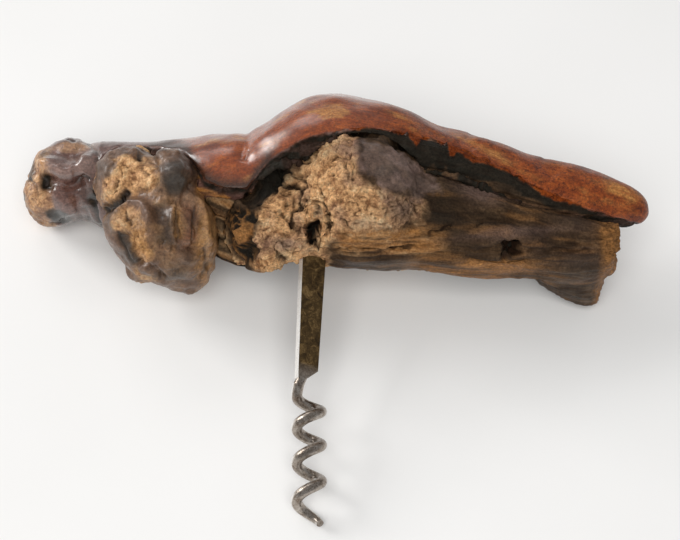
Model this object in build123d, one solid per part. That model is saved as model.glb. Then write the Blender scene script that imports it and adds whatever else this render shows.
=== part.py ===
"""Direct-pull corkscrew with a natural root-wood handle and one steel forging, at rest on a table.

Axes: +X along the handle towards the broken trunk end, +Y from the worm's tip to the handle's crown,
+Z up, away from the table. The origin is on the table, under the middle of the object's outline.
It stands on three points: the end knob, the trunk's foot and the low side of the worm's last turn.

The handle is drawn facing +Z, with its crown towards +Y and the worm reaching towards -Y and a
little forward. LEAN turns it back about X, onto its three points.

The handle is one piece of old vine root. Each of its growths is a solid of its own: the polished live
limb over the crown, the end knob, the knots, and the dead heart wood. Grown-together neighbours meet
face to face. A flat steel bar runs down from a slot in the wood and ends in a right-handed wire worm.
A nail through the bar and a wooden wedge beside it hold it in the slot.
"""
from build123d import *
import math
import os

# --- Driving dimensions, millimetres and degrees ---------------------------------------------

LEAN = 33.0                     # turn about X from the drawn attitude to the resting one
TABLE_DROP = 5.4                # height of the table under the leaning object, before the last shift

# Worm and bar, in the worm's own frame: +Z up along its axis into the wood, from the slot's mouth,
# +X as the handle and +Y to the back.
MOUTH = (-7.5, 13.8, 23.6)      # where the worm's axis meets the mouth of the slot
WORM_TILT = 19.0                # how far the axis comes forward from the mouth to the tip
WORM_SIDE = 0.36                # and how far it swings towards +X
WIRE_D = 3.1
WORM_R = 3.35                   # radius of the wire's centreline
WORM_TOP = -39.2                # height where the first turn starts
WORM_TURNS = 3.42
FIRST_PITCH = 8.64
PITCH_GAIN = 0.36               # the worm opens by twice this for each turn
POINT_L = 8.5                   # tapered length of wire at the tip
POINT_D = 2.0                   # the point is blunt
POINT_FROM = 3.0                # turn after which the point starts to straighten
POINT_DROP = 1.2                # and how much farther down that brings it
STEPS_PER_TURN = 12

BAR_W = 7.1                     # bar width where it enters the wood
BAR_W_LOW = 5.9                 # bar width at the shoulder
BAR_T = 2.6
BAR_TWIST = 25.0                # turn of the bar about its own length
BAR_Y = -1.2                    # the bar stands this far in front of the worm's axis
BAR_LOW = -32.5                 # height of the shoulder
BAR_LOW_X = -0.7
BAR_MOUTH_X = 1.0
TANG_L = 22.0                   # length of bar inside the wood
NECK_W = 2.9                    # forged neck between bar and wire
NECK_ROUND = 0.9
SHOULDER_DROP = 2.2
WIRE_LEAD = ((-2.75, -1.95, 3.0), (-3.2, -1.1, 1.2))     # the wire above WORM_TOP, from the neck down

NAIL_D = 2.5
NAIL_FIT = 0.03                 # radial clearance round the nail in the tang
NAIL_HEIGHT = 13.0              # height of the nail above the mouth
NAIL_FRONT = 7.0                # reach of the nail in front of the tang
NAIL_BACK = 15.0                # reach behind it, to a little inside the wood's back

WEDGE_L = 15.0
WEDGE_THICK = 2.4               # at the mouth
WEDGE_THIN = 1.0                # at its driven end
NOTCH_W = 5.4                   # broken-out opening in front of the tang
NOTCH_LOW = 4.4                 # a lip of wood this high crosses the bar below it
NOTCH_H = 9.6                   # height to the spring of its round top
NOTCH_DEEP = 30.0
NOTCH_X = 2.0                   # from the worm's axis

TRIM = 400.0                    # size of the block that trims what would reach below the table

# --- Growths of the handle: x, y, z, half width across the heading, half height --------------

LIMB_LEAN = 24.0                # the limb's flat section leans back over the crown
LIVE_LIMB = (
    (-86, 38, -2, 0, 0),
    (-83, 38, -2, 6, 6.5),
    (-74, 37.6, 0, 11.6, 10.5),
    (-63.5, 37.4, 3.5, 12.4, 11.5),
    (-51, 38.4, 7.5, 11, 12.5),
    (-36.5, 40.6, 11.5, 9.8, 13.5),
    (-24, 41.8, 14, 9.8, 14.3),
    (-14, 47.4, 15.5, 10.4, 15),
    (-5, 51.3, 16, 9.8, 15.3),
    (4, 51.8, 16, 9.2, 15.3),
    (14, 50, 16, 9.2, 14.8),
    (26, 45.4, 16, 9, 14.2),
    (42, 40.6, 16, 9.1, 13.2),
    (58, 35.5, 15.5, 8.7, 11.2),
    (72, 32.1, 15.5, 8.6, 9.5),
    (81, 30, 16, 7.2, 7.2),
    (87, 29.2, 16.5, 4.8, 4.8),
    (90, 28.4, 16.5, 0, 0),
)
END_KNOB = (
    (-93, 33.6, -3.5, 0, 0),
    (-91.4, 34, -3.4, 6.5, 7),
    (-87, 35.8, -3, 11.4, 11.6),
    (-81, 37.6, -2.6, 13.6, 13.4),
    (-75.5, 37.4, -1.6, 12.6, 12.4),
    (-70, 36.8, 0, 8, 8),
)
KNOB_CHIN = ((-81.5, 30.6, -1), 6.8)
HEART_TRUNK = (
    (-17, 23, 17, 0, 0),
    (-14, 23.5, 17, 8, 10),
    (-6, 25, 17.5, 11.2, 14.5),
    (8, 26.5, 18, 15, 16.5),
    (24, 27, 18, 15.6, 16.5),
    (41, 23.8, 17, 14.3, 15),
    (58, 20.7, 15.5, 11.6, 13),
    (70, 18.4, 14.5, 11.4, 12),
    (78, 18.8, 14, 10, 10.5),
    (81.5, 21.5, 14.5, 6, 8),
)
TRUNK_FOOT_HEADING = -32.0
TRUNK_FOOT = (
    (57, 15.5, 14, 4.5, 6.6),
    (64, 11.3, 12.5, 5.6, 7),
    (71, 7.6, 10.4, 5.6, 6.8),
    (76, 4.8, 9, 4.2, 5.4),
    (77.8, 3.9, 8.6, 0, 0),
)
BURL_DOME = ((8, 32.4, 23), 18.9)
BURL_LOBE = ((-20.4, 22.6, 21.5), 11.6)
LOBE_LIP = ((-11.5, 23.4, 22), 9.4)
LOBE_CREST = ((-14.6, 36, 20.4), 9.2)
LEFT_BURL = ((-48.6, 22.3, 17), 15.6)
BURL_BROW = ((-59.4, 36.8, 15.5), 10.4)
BURL_BOSS = ((-46.6, 38, 23.5), 7.5)
BURL_CHIN = ((-43.4, 13.6, 15), 8.4)
BURL_TOE = ((-56, 11.8, 15), 4.5)
RECESS_HEADING = -22.0
RECESS_RIBS = (
    ((-44, 34, 15), (-34, 31, 15.5, 4, 7.5), (-22, 27, 16, 3.6, 7), (-12, 24, 16)),
    ((-44, 29, 13.5), (-34, 25.2, 14, 4.2, 8), (-22, 20, 14, 3.8, 7), (-14, 17.6, 14)),
    ((-44, 23, 12), (-33, 19, 12.5, 4, 7.5), (-24, 15, 12, 3, 6), (-18, 12.6, 12)),
)
BARK_STRIP = (
    (-14, 45, 20.5, 0, 0),
    (-6, 48, 22.5, 2.6, 6),
    (6, 48.8, 24, 3, 7),
    (20, 45.3, 25, 4.4, 6.4),
    (32, 41.5, 24.6, 5, 5.4),
    (44, 37.4, 24, 4.4, 5),
    (58, 32, 22.4, 3.4, 4.6),
    (70, 28.8, 21, 2.2, 3.6),
    (76, 27.6, 20.4, 0, 0),
)


# --- Helpers ---------------------------------------------------------------------------------

def growth(heading, stations, roll=0.0):
    """A smooth body lofted through upright ellipses that stand across a heading in the XY plane."""
    ahead = Vector(math.cos(math.radians(heading)), math.sin(math.radians(heading)), 0)
    across = Vector(0, 0, 1).cross(ahead)
    sections = []
    for x, y, z, half_width, half_height in stations:
        if half_width == 0:
            sections.append(Vertex(x, y, z))
            continue
        plane = Plane(origin=(x, y, z), x_dir=across, z_dir=ahead)
        sections.append(plane * Rot(0, 0, roll) * Ellipse(half_width, half_height))
    return loft(sections)


def lump(centre, radius):
    """A round knot, with the seam of its sphere turned up to the crown."""
    return Pos(*centre) * Rot(0, 0, 90) * Sphere(radius)


def largest(shape):
    """The biggest solid of a shape, so that a cut leaves no loose slivers."""
    return max(shape.solids(), key=lambda solid: solid.volume)


# --- Steel forging ---------------------------------------------------------------------------

worm_place = Pos(*MOUTH) * Rot(-90 - WORM_TILT, 0, 0) * Rot(0, -WORM_SIDE, 0)
bar_at_mouth = Pos(BAR_MOUTH_X, BAR_Y, 0) * Rot(0, 0, BAR_TWIST)
bar_at_shoulder = Pos(BAR_LOW_X, BAR_Y, BAR_LOW) * Rot(0, 0, BAR_TWIST)


def worm_point(turns):
    """Centreline of the worm, counted in turns down from the left of the first turn."""
    angle = 2 * math.pi * turns
    straightened = max(0, turns - POINT_FROM) / (WORM_TURNS - POINT_FROM)
    drop = FIRST_PITCH * turns + PITCH_GAIN * turns**2 + POINT_DROP * straightened**2
    return Vector(-WORM_R * math.cos(angle), WORM_R * math.sin(angle), WORM_TOP - drop)


def wire_centreline():
    """Spline from the neck round the worm to its point."""
    count = round(WORM_TURNS * STEPS_PER_TURN)
    lead = [Vector(x, y, WORM_TOP + rise) for x, y, rise in WIRE_LEAD]
    return Spline(*lead, *[worm_point(WORM_TURNS * step / count) for step in range(count + 1)])


def wire_disc(path, place, diameter):
    """Disc across a path at a place from 0 to 1."""
    return Plane(origin=path @ place, z_dir=path % place) * Circle(diameter / 2)


def make_forging():
    """Tang, bar, forged neck and worm: one piece of steel, in the worm's frame."""
    centreline = wire_centreline()
    point_starts = 1 - POINT_L / centreline.length
    round_run = centreline.trim(0, point_starts)
    point_run = centreline.trim(point_starts, 1)
    wire = sweep(wire_disc(round_run, 0, WIRE_D), path=round_run)
    point = sweep(
        [wire_disc(point_run, 0, WIRE_D), wire_disc(point_run, 1, POINT_D)],
        path=point_run,
        multisection=True,
    )
    neck_x = -(BAR_W_LOW - NECK_W) / 2
    neck_top = bar_at_shoulder * Pos(neck_x, 0, -SHOULDER_DROP)
    neck = loft([neck_top * RectangleRounded(NECK_W, BAR_T, NECK_ROUND), wire_disc(round_run, 0, WIRE_D)])
    shoulder = loft([bar_at_shoulder * Rectangle(BAR_W_LOW, BAR_T), neck_top * Rectangle(NECK_W, BAR_T)])
    bar = loft([bar_at_shoulder * Rectangle(BAR_W_LOW, BAR_T), bar_at_mouth * Rectangle(BAR_W, BAR_T)])
    tang = bar_at_mouth * Box(BAR_W, BAR_T, TANG_L, align=(Align.CENTER, Align.CENTER, Align.MIN))
    forging = (wire + point + neck) + (bar + tang + shoulder)
    return forging - nail_shape(NAIL_D + 2 * NAIL_FIT)


def nail_shape(diameter, extra=0.0):
    """The nail's cylinder through the tang, in the worm's frame; extra lengthens it at its lower end."""
    length = NAIL_FRONT + NAIL_BACK + extra
    upper_end = bar_at_mouth * Pos(0, -NAIL_FRONT, NAIL_HEIGHT)
    shaft = Cylinder(diameter / 2, length, align=(Align.CENTER, Align.CENTER, Align.MAX))
    return upper_end * Rot(90, 0, 0) * shaft


def make_wedge():
    """Wedge driven up beside the tang's right edge."""
    side = bar_at_mouth * Pos(BAR_W / 2, 0, 0)
    mouth_end = side * Pos(WEDGE_THICK / 2, 0, 0) * Rectangle(WEDGE_THICK, BAR_T)
    driven_end = side * Pos(WEDGE_THIN / 2, 0, WEDGE_L) * Rectangle(WEDGE_THIN, BAR_T)
    return loft([mouth_end, driven_end])


def make_notch():
    """Round-topped opening broken out of the wood above the tang, in the worm's frame."""
    post = Pos(0, 0, NOTCH_LOW) * Box(
        NOTCH_W, NOTCH_DEEP, NOTCH_H - NOTCH_LOW, align=(Align.CENTER, Align.MAX, Align.MIN)
    )
    arch = Pos(0, 0, NOTCH_H) * Rot(90, 0, 0) * Cylinder(
        NOTCH_W / 2, NOTCH_DEEP, align=(Align.CENTER, Align.CENTER, Align.MIN)
    )
    return Pos(NOTCH_X, BAR_Y, 0) * (post + arch)


# --- Wood ------------------------------------------------------------------------------------

def make_rib(first, *stations_and_last):
    """One splintered rib of the recess, pointed at both ends."""
    *stations, last = stations_and_last
    return growth(RECESS_HEADING, [(*first, 0, 0), *stations, (*last, 0, 0)])


def make_growths():
    """The bodies of every growth before its neighbours are cut from them, the foremost first."""
    return {
        "left_burl": [lump(*LEFT_BURL), lump(*BURL_BROW)],
        "burl_boss": [lump(*BURL_BOSS)],
        "burl_chin": [lump(*BURL_CHIN)],
        "burl_toe": [lump(*BURL_TOE)],
        "centre_burl_lobe": [lump(*BURL_LOBE), lump(*LOBE_LIP)],
        "centre_burl_crest": [lump(*LOBE_CREST)],
        "centre_burl_dome": [lump(*BURL_DOME)],
        "end_knob": [growth(0, END_KNOB), lump(*KNOB_CHIN)],
        "bark_strip": [growth(0, BARK_STRIP)],
        "live_limb": [growth(0, LIVE_LIMB, LIMB_LEAN)],
        "trunk_foot": [growth(TRUNK_FOOT_HEADING, TRUNK_FOOT)],
        "heart_trunk": [growth(0, HEART_TRUNK)],
        "recess_rib_upper": [make_rib(*RECESS_RIBS[0])],
        "recess_rib_middle": [make_rib(*RECESS_RIBS[1])],
        "recess_rib_lower": [make_rib(*RECESS_RIBS[2])],
    }


def fit_together(growths, cutters):
    """Cuts the cutters from each growth, and then each growth from those after it."""
    done = {}
    for name, bodies in growths.items():
        body = sum(bodies[1:], bodies[0])
        for cutter in [*cutters, *done.values()]:
            body = body - cutter
        done[name] = largest(body)
    return done


def make_parts():
    """Every solid by its node's name, at rest, with the origin under the middle of the outline."""
    at_rest = Pos(0, 0, -TABLE_DROP) * Rot(LEAN, 0, 0)
    table = at_rest.inverse() * Box(TRIM, TRIM, TRIM, align=(Align.CENTER, Align.CENTER, Align.MAX))
    forging = worm_place * make_forging()
    nail = worm_place * nail_shape(NAIL_D)
    wedge = worm_place * make_wedge()
    nail_hole = worm_place * nail_shape(NAIL_D, extra=TANG_L)
    notch = worm_place * make_notch()
    parts = {"worm_forging": forging, "tang_nail": nail, "tang_wedge": wedge}
    parts.update(fit_together(make_growths(), [table, forging, nail_hole, wedge, notch]))
    box = Compound([at_rest * shape for shape in parts.values()]).bounding_box()
    to_origin = Pos(-(box.min.X + box.max.X) / 2, -(box.min.Y + box.max.Y) / 2, 0)
    return {name: to_origin * at_rest * shape for name, shape in parts.items()}


os.makedirs("parts", exist_ok=True)
for node, solid in make_parts().items():
    export_step(solid, f"parts/{node}.step")
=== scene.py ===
"""A direct-pull corkscrew with a handle of old vine root, lying on a pale table beside a window.

Each wooden piece starts as copies of its CAD solids. The copies are joined, remeshed into one skin
and carved in numbers: cork, cracks, pits, scars and fibres. Carving works in millimetres in the
facing frame, where the handle faces +Z with its crown towards +Y and its broken end towards +X.
LEAN and SHIFT take that frame to the row frame. Marks on the front are placed on a plane at height
MARK_PLANE, as they are seen from STATION.
"""

import math

import bmesh
import bpy
import numpy as np
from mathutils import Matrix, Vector


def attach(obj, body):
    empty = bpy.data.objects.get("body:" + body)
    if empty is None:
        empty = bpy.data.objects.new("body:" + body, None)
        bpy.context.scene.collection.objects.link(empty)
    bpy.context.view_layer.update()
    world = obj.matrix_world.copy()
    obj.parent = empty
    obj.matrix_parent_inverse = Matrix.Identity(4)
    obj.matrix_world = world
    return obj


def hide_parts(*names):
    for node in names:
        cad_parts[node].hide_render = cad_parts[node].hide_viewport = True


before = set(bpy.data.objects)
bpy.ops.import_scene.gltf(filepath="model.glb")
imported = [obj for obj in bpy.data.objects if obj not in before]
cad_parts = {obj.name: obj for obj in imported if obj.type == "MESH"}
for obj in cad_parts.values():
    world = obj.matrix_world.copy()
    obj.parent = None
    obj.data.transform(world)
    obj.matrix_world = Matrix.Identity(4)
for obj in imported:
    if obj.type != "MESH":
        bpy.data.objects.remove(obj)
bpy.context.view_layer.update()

LEAN = math.radians(33)
SHIFT = np.array([1.5, 12.4, -5.4])
STATION = np.array([1.3, 11.5, 479.0])
MARK_PLANE = 22.0
PITCH = 0.4
TURN = np.array([
    [1, 0, 0],
    [0, math.cos(LEAN), -math.sin(LEAN)],
    [0, math.sin(LEAN), math.cos(LEAN)],
])


def to_facing(row_metres):
    return (row_metres * 1000 - SHIFT) @ TURN


def to_row(facing):
    return (facing @ TURN.T + SHIFT) / 1000


# --- Noise -----------------------------------------------------------------------------------

def lattice(cell, seed):
    """A random number from 0 to 1 for each whole-numbered point."""
    mixed = cell[..., 0] * 374761393 + cell[..., 1] * 668265263 + cell[..., 2] * 1440662683 + seed * 974634777
    mixed = mixed & 0xFFFFFFFF
    mixed = ((mixed ^ (mixed >> 13)) * 1274126177) & 0xFFFFFFFF
    mixed = ((mixed ^ (mixed >> 16)) * 668265263) & 0xFFFFFFFF
    return ((mixed ^ (mixed >> 15)) & 0xFFFFFF) / 0xFFFFFF


def noise(p, size, seed=0):
    """Smooth noise from -1 to 1; size is one number or one for each axis."""
    q = p / np.asarray(size, float)
    base = np.floor(q).astype(np.int64)
    f = q - base
    f = f * f * f * (f * (f * 6 - 15) + 10)
    total = 0
    for corner in range(8):
        step = np.array([corner & 1, corner >> 1 & 1, corner >> 2 & 1])
        weight = np.prod(np.where(step, f, 1 - f), axis=1)
        total = total + weight * lattice(base + step, seed)
    return total * 2 - 1


def fbm(p, size, rounds=4, seed=0, gain=0.5):
    total = 0
    strength = 1.0
    size = np.asarray(size, float)
    for step in range(rounds):
        total = total + strength * noise(p, size, seed + step)
        strength *= gain
        size = size / 2.03
    return total


def ridges(p, size, rounds=3, seed=0):
    """Sharp-crested noise from 0 to about 1, high on the crests."""
    total = 0
    strength = 0.6
    size = np.asarray(size, float)
    for step in range(rounds):
        total = total + strength * (1 - np.abs(noise(p, size, seed + step))) ** 2
        strength *= 0.5
        size = size / 2.1
    return total


def cells(p, size, seed=0):
    """Distance to the nearest of scattered points, how much nearer it is than the next, and its number."""
    q = p / size
    base = np.floor(q).astype(np.int64)
    first = np.full(len(q), 9.0)
    second = np.full(len(q), 9.0)
    number = np.zeros(len(q))
    for x in (-1, 0, 1):
        for y in (-1, 0, 1):
            for z in (-1, 0, 1):
                cell = base + np.array([x, y, z])
                point = cell + np.stack([lattice(cell, seed + k) for k in (1, 2, 3)], axis=1)
                away = np.linalg.norm(q - point, axis=1)
                closer = away < first
                second = np.where(closer, first, np.minimum(second, away))
                number = np.where(closer, lattice(cell, seed + 4), number)
                first = np.where(closer, away, first)
    return first, second - first, number


def ramp(value, low, high):
    """0 below low, 1 above high, smooth between; low may be above high."""
    t = np.clip((value - low) / (high - low), 0, 1)
    return t * t * (3 - 2 * t)


# --- Marks on the front ----------------------------------------------------------------------

def line_away(q, line):
    """Distance from a polyline, and how far along it, from 0 to 1."""
    line = np.asarray(line, float)
    lengths = np.linalg.norm(np.diff(line, axis=0), axis=1)
    starts = np.concatenate([[0], np.cumsum(lengths)])
    best = np.full(len(q), 1e9)
    along = np.zeros(len(q))
    for k, length in enumerate(lengths):
        heading = (line[k + 1] - line[k]) / length
        t = np.clip((q - line[k]) @ heading, 0, length)
        away = np.linalg.norm(q - line[k] - t[:, None] * heading, axis=1)
        along = np.where(away < best, (starts[k] + t) / starts[-1], along)
        best = np.minimum(away, best)
    return best, along


def stroke(q, line, width, fade=0.12):
    """1 on a polyline, dying out over width to each side and towards both ends."""
    away, along = line_away(q, line)
    return np.exp(-((away / width) ** 2)) * ramp(along, -0.02, fade) * ramp(along, 1.02, 1 - fade)


def crack_depth(q, lines):
    """How deep a set of cracks is at each point."""
    total = np.zeros(len(q))
    for line, width, depth in lines:
        total += depth * stroke(q, line, width)
    return total


def spot(q, centre, across, up=None, turn=0.0):
    """A soft round or oval spot."""
    c = math.cos(math.radians(turn))
    s = math.sin(math.radians(turn))
    d = q - np.asarray(centre, float)
    u = (d[:, 0] * c + d[:, 1] * s) / across
    v = (d[:, 1] * c - d[:, 0] * s) / (up or across)
    return np.exp(-(u * u + v * v))


def inside(q, outline):
    """Signed distance from a closed outline, positive inside it."""
    outline = np.asarray(outline, float)
    away, _ = line_away(q, np.vstack([outline, outline[:1]]))
    within = np.zeros(len(q), bool)
    for a, b in zip(outline, np.roll(outline, -1, axis=0)):
        crosses = (a[1] > q[:, 1]) != (b[1] > q[:, 1])
        rise = b[1] - a[1] if b[1] != a[1] else 1e-9
        within ^= crosses & (q[:, 0] < (b[0] - a[0]) * (q[:, 1] - a[1]) / rise + a[0])
    return np.where(within, away, -away)


def above(q, line):
    """Height above a line that runs from left to right."""
    line = np.asarray(line, float)
    return q[:, 1] - np.interp(q[:, 0], line[:, 0], line[:, 1])


# --- Skins -----------------------------------------------------------------------------------

class Skin:
    """The remeshed skin of some CAD nodes, held as arrays in the facing frame while it is carved."""

    def __init__(self, name, nodes, pitch, soften, reach=0.0):
        self.name = name
        self.nodes = nodes
        bm = bmesh.new()
        for node in nodes:
            bm.from_mesh(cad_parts[node].data)
        for vertex in bm.verts:
            vertex.co = to_facing(np.array(vertex.co))
        rough = bpy.data.meshes.new(name)
        bm.to_mesh(rough)
        bm.free()
        self.remesh(rough, pitch)
        if reach:
            self.smooth(4)
            self.push(np.full(len(self.co), reach))
            grown = bpy.data.meshes.new(name)
            grown.from_pydata(self.co.tolist(), [], self.quads.tolist())
            self.remesh(grown, pitch)
            self.smooth(4)
            self.push(np.full(len(self.co), -reach))
        self.smooth(soften)
        self.masks = {}

    def remesh(self, rough, pitch):
        """Takes on the voxel skin of a mesh, which is used up."""
        holder = bpy.data.objects.new(self.name, rough)
        bpy.context.scene.collection.objects.link(holder)
        voxels = holder.modifiers.new("skin", "REMESH")
        voxels.mode = "VOXEL"
        voxels.voxel_size = pitch
        fine = bpy.data.meshes.new_from_object(holder.evaluated_get(bpy.context.evaluated_depsgraph_get()))
        bpy.data.objects.remove(holder)
        bpy.data.meshes.remove(rough)
        co = np.empty(len(fine.vertices) * 3, np.float32)
        fine.vertices.foreach_get("co", co)
        quads = np.empty(len(fine.loops), np.int32)
        fine.loops.foreach_get("vertex_index", quads)
        bpy.data.meshes.remove(fine)
        self.keep_outer(co.reshape(-1, 3).astype(float), quads.reshape(-1, 4))

    def keep_outer(self, co, quads):
        """Keeps the widest connected skin and drops any sheet inside it."""
        edges = np.vstack([quads[:, [k, (k + 1) % 4]] for k in range(4)])
        label = np.arange(len(co))
        while True:
            low = np.minimum(label[edges[:, 0]], label[edges[:, 1]])
            lower = label.copy()
            np.minimum.at(lower, edges[:, 0], low)
            np.minimum.at(lower, edges[:, 1], low)
            lower = lower[lower]
            if (lower == label).all():
                break
            label = lower
        names, counts = np.unique(label, return_counts=True)
        kept = label == names[np.argmax(counts)]
        index = np.cumsum(kept) - 1
        self.quads = index[quads[kept[quads[:, 0]]]]
        self.co = co[kept]
        edges = np.vstack([self.quads[:, [k, (k + 1) % 4]] for k in range(4)])
        self.edges = np.unique(np.sort(edges, axis=1), axis=0)
        self.degree = np.bincount(self.edges.ravel(), minlength=len(self.co)).astype(float)

    def spread(self, values):
        """The mean of each vertex's neighbours."""
        a, b = self.edges[:, 0], self.edges[:, 1]
        count = len(self.co)
        total = np.bincount(a, values[b], count) + np.bincount(b, values[a], count)
        return total / self.degree

    def smooth(self, rounds, weight=1.0):
        for _ in range(rounds):
            for axis in range(3):
                here = self.co[:, axis]
                self.co[:, axis] = here + 0.5 * weight * (self.spread(here) - here)

    def blur(self, values, rounds):
        for _ in range(rounds):
            values = 0.5 * values + 0.5 * self.spread(values)
        return values

    def normals(self):
        a, b, c, d = (self.co[self.quads[:, k]] for k in range(4))
        flat = np.cross(c - a, d - b)
        total = np.zeros_like(self.co)
        for axis in range(3):
            for k in range(4):
                total[:, axis] += np.bincount(self.quads[:, k], flat[:, axis], len(self.co))
        return total / (np.linalg.norm(total, axis=1, keepdims=True) + 1e-12)

    def marks(self):
        """Where each vertex is seen from the station, on the mark plane."""
        reach = (STATION[2] - MARK_PLANE) / (STATION[2] - self.co[:, 2])
        return STATION[:2] + (self.co[:, :2] - STATION[:2]) * reach[:, None]

    def front(self):
        return ramp(self.normals()[:, 2], -0.25, 0.15)

    def push(self, amount):
        """Moves the skin out by amount, or in where it is negative."""
        self.co = self.co + self.normals() * np.asarray(amount)[:, None]

    def finish(self, material, slot, grain):
        """Makes the carved skin a Blender piece that stands for its CAD nodes."""
        row = to_row(self.co)
        row[:, 2] = np.maximum(row[:, 2], 0.00002)
        mesh = bpy.data.meshes.new(self.name)
        mesh.from_pydata(row.tolist(), [], self.quads.tolist())
        mesh.shade_smooth()
        for name, values in self.masks.items():
            layer = mesh.attributes.new(name, "FLOAT", "POINT")
            layer.data.foreach_set("value", np.clip(values, 0, 1).astype(np.float32))
        layer = mesh.attributes.new("grain", "FLOAT_VECTOR", "POINT")
        layer.data.foreach_set("vector", grain.astype(np.float32).ravel())
        piece = bpy.data.objects.new(self.name, mesh)
        bpy.context.scene.collection.objects.link(piece)
        mesh.materials.append(material)
        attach(piece, "root")
        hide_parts(*self.nodes)
        return piece


def hollow_shade(skin, before, scale):
    """0 to 1, high where the carving went below the skin round it; the material darkens these places as
    painted shade.
    """
    depth = np.einsum("ij,ij->i", before - skin.co, skin.normals())
    return np.clip((depth - skin.blur(depth, 12)) / scale, 0, 1)


def cork_relief(p, seed):
    """Dry cork: broad plates with fine cracks between them, wrinkled and grained."""
    warp = np.stack([noise(p, 3.2, seed + k) for k in (20, 21, 22)], axis=1)
    _, gap, number = cells(p + warp * 1.8, 5.2, seed)
    wrinkles = ridges(p + warp, (2.7, 1.6, 2.1), 3, seed + 7) - 0.5
    cracks = np.exp(-((gap / 0.06) ** 2)) * ramp(noise(p, 6, seed + 9), -0.3, 0.5)
    return (number - 0.5) * 0.5 - 0.9 * cracks + 0.85 * wrinkles + 0.4 * fbm(p, 1.4, 2, seed + 11)


# --- Marks of the handle, in millimetres on the mark plane ------------------------------------

LIMB_EDGE = (
    (-60, 45), (-52, 47), (-44, 46), (-41.5, 44), (-39.5, 41), (-37.5, 37.5), (-32.5, 35), (-25, 34.5),
    (-22.5, 38.5), (-19, 43), (-14.5, 45.5), (-10, 48.5), (-0.5, 51), (6, 51.5), (12.5, 51), (17.5, 50.3),
    (20.5, 50), (23, 47), (25, 48.5), (28, 49.5), (30, 46.5), (31.5, 48.5), (32.5, 44.5), (36.5, 44),
    (39, 42), (46, 40.3), (51, 38), (57.5, 34), (62, 31.3), (68.5, 30), (75, 28), (80.5, 26), (88, 24.5),
)
CORK_LEFT = (
    (-0.5, 50.5), (-10, 45.5), (-13.5, 41.5), (-14.5, 36.5), (-19, 33), (-21, 30), (-22.5, 26.5), (-24, 20),
    (-23, 9),
)
CORK = CORK_LEFT + (
    (-8, 9), (-3, 12), (-1, 19.5), (8, 21), (17, 22.5), (24, 26), (25.5, 31), (22.5, 31.5), (17, 32.5),
    (10.5, 36.5), (6.5, 39.5), (6.5, 49),
)
DARK_SKIN = (
    (6.8, 49), (6.8, 39.5), (10.5, 36.5), (17, 33), (24, 32), (30, 34), (26, 40), (19, 45.5), (12, 49),
)
RECESS = (
    (-40, 31), (-30, 30.5), (-21.5, 27.8), (-22.8, 24), (-23.2, 19), (-22.5, 14.5), (-26, 12), (-32, 15),
    (-40, 20),
)
CHIP = ((-28.5, 22.6), (-26, 24.2), (-23.6, 22.5), (-24.2, 20), (-27, 18.8))
GROOVE = (
    (-30, 33), (-24, 29), (-21, 30), (-19, 33), (-14.5, 36.5), (-13.5, 41.5), (-10, 45.5), (-0.5, 50.3),
    (6, 50), (12, 49.3), (22, 43.5), (30, 38), (34, 40), (24, 47), (6, 52), (-1, 52), (-11, 49),
    (-19, 43.5), (-22.5, 39), (-25, 35),
)
KNOT = ((46.6, 16.8), (47.5, 19.5), (50, 20.6), (52.6, 19.4), (53.4, 17), (50, 16.2), (47.4, 14.6))
SLIT = ((69, 27.2), (74, 27.8), (78.5, 26.4), (81, 24), (77, 24.8), (72, 25.8))
HOLE = ((-8, 19), (-8, 22.5), (-7, 25), (-5.2, 25.4), (-4.6, 23), (-4.8, 19), (-6, 17.8))
BOSS = ((-51, 41), (-46, 44), (-41, 43), (-39, 38), (-42, 33), (-48, 33), (-49.5, 37))
KNOB_LIP = ((-82.5, 43.5), (-81.8, 41.8), (-80, 40.2), (-76.5, 39), (-72, 41), (-69, 44))

# Cracks: a line, its width and its depth.
CENTRE_CRACKS = (
    (((-15.5, 35.5), (-9.5, 34.5), (-10, 29), (-12, 27.5), (-12.5, 25), (-11.5, 23), (-8.5, 21.5)), 0.5, 2.2),
    (((-16, 40.5), (-9.5, 37.5), (-8.5, 34.5)), 0.4, 0.9),
    (((-4.5, 32), (-2.5, 28), (-1.7, 25), (-1.5, 20.5)), 0.5, 1.8),
    (((-5, 36), (-4, 32)), 0.35, 0.8),
    (((-9, 31), (-4.5, 30.5), (-2.5, 28.5)), 0.4, 0.9),
    (((1, 27), (3.5, 24.5), (4.2, 22.5)), 0.4, 1.0),
    (((-22, 29.5), (-16, 28), (-13, 25)), 0.35, 0.7),
    (((3, 42.5), (4.5, 36)), 0.3, 0.6),
    (((-17, 15.5), (-14, 14)), 0.8, 1.5),
    (((-1, 17.6), (4, 17.2), (12.5, 16.8), (23, 18.6)), 0.45, 1.2),
    (((54, 17.6), (60, 17.3), (73.5, 17)), 0.35, 0.6),
    (((26, 21), (33, 25)), 0.4, 0.8),
    (((40, 23), (42, 25.5)), 0.4, 0.7),
    (((28, 38.6), (33.5, 39), (39, 38), (44, 35.5), (56, 32), (63, 29.5), (70, 28.5)), 0.5, 1.6),
)
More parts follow.
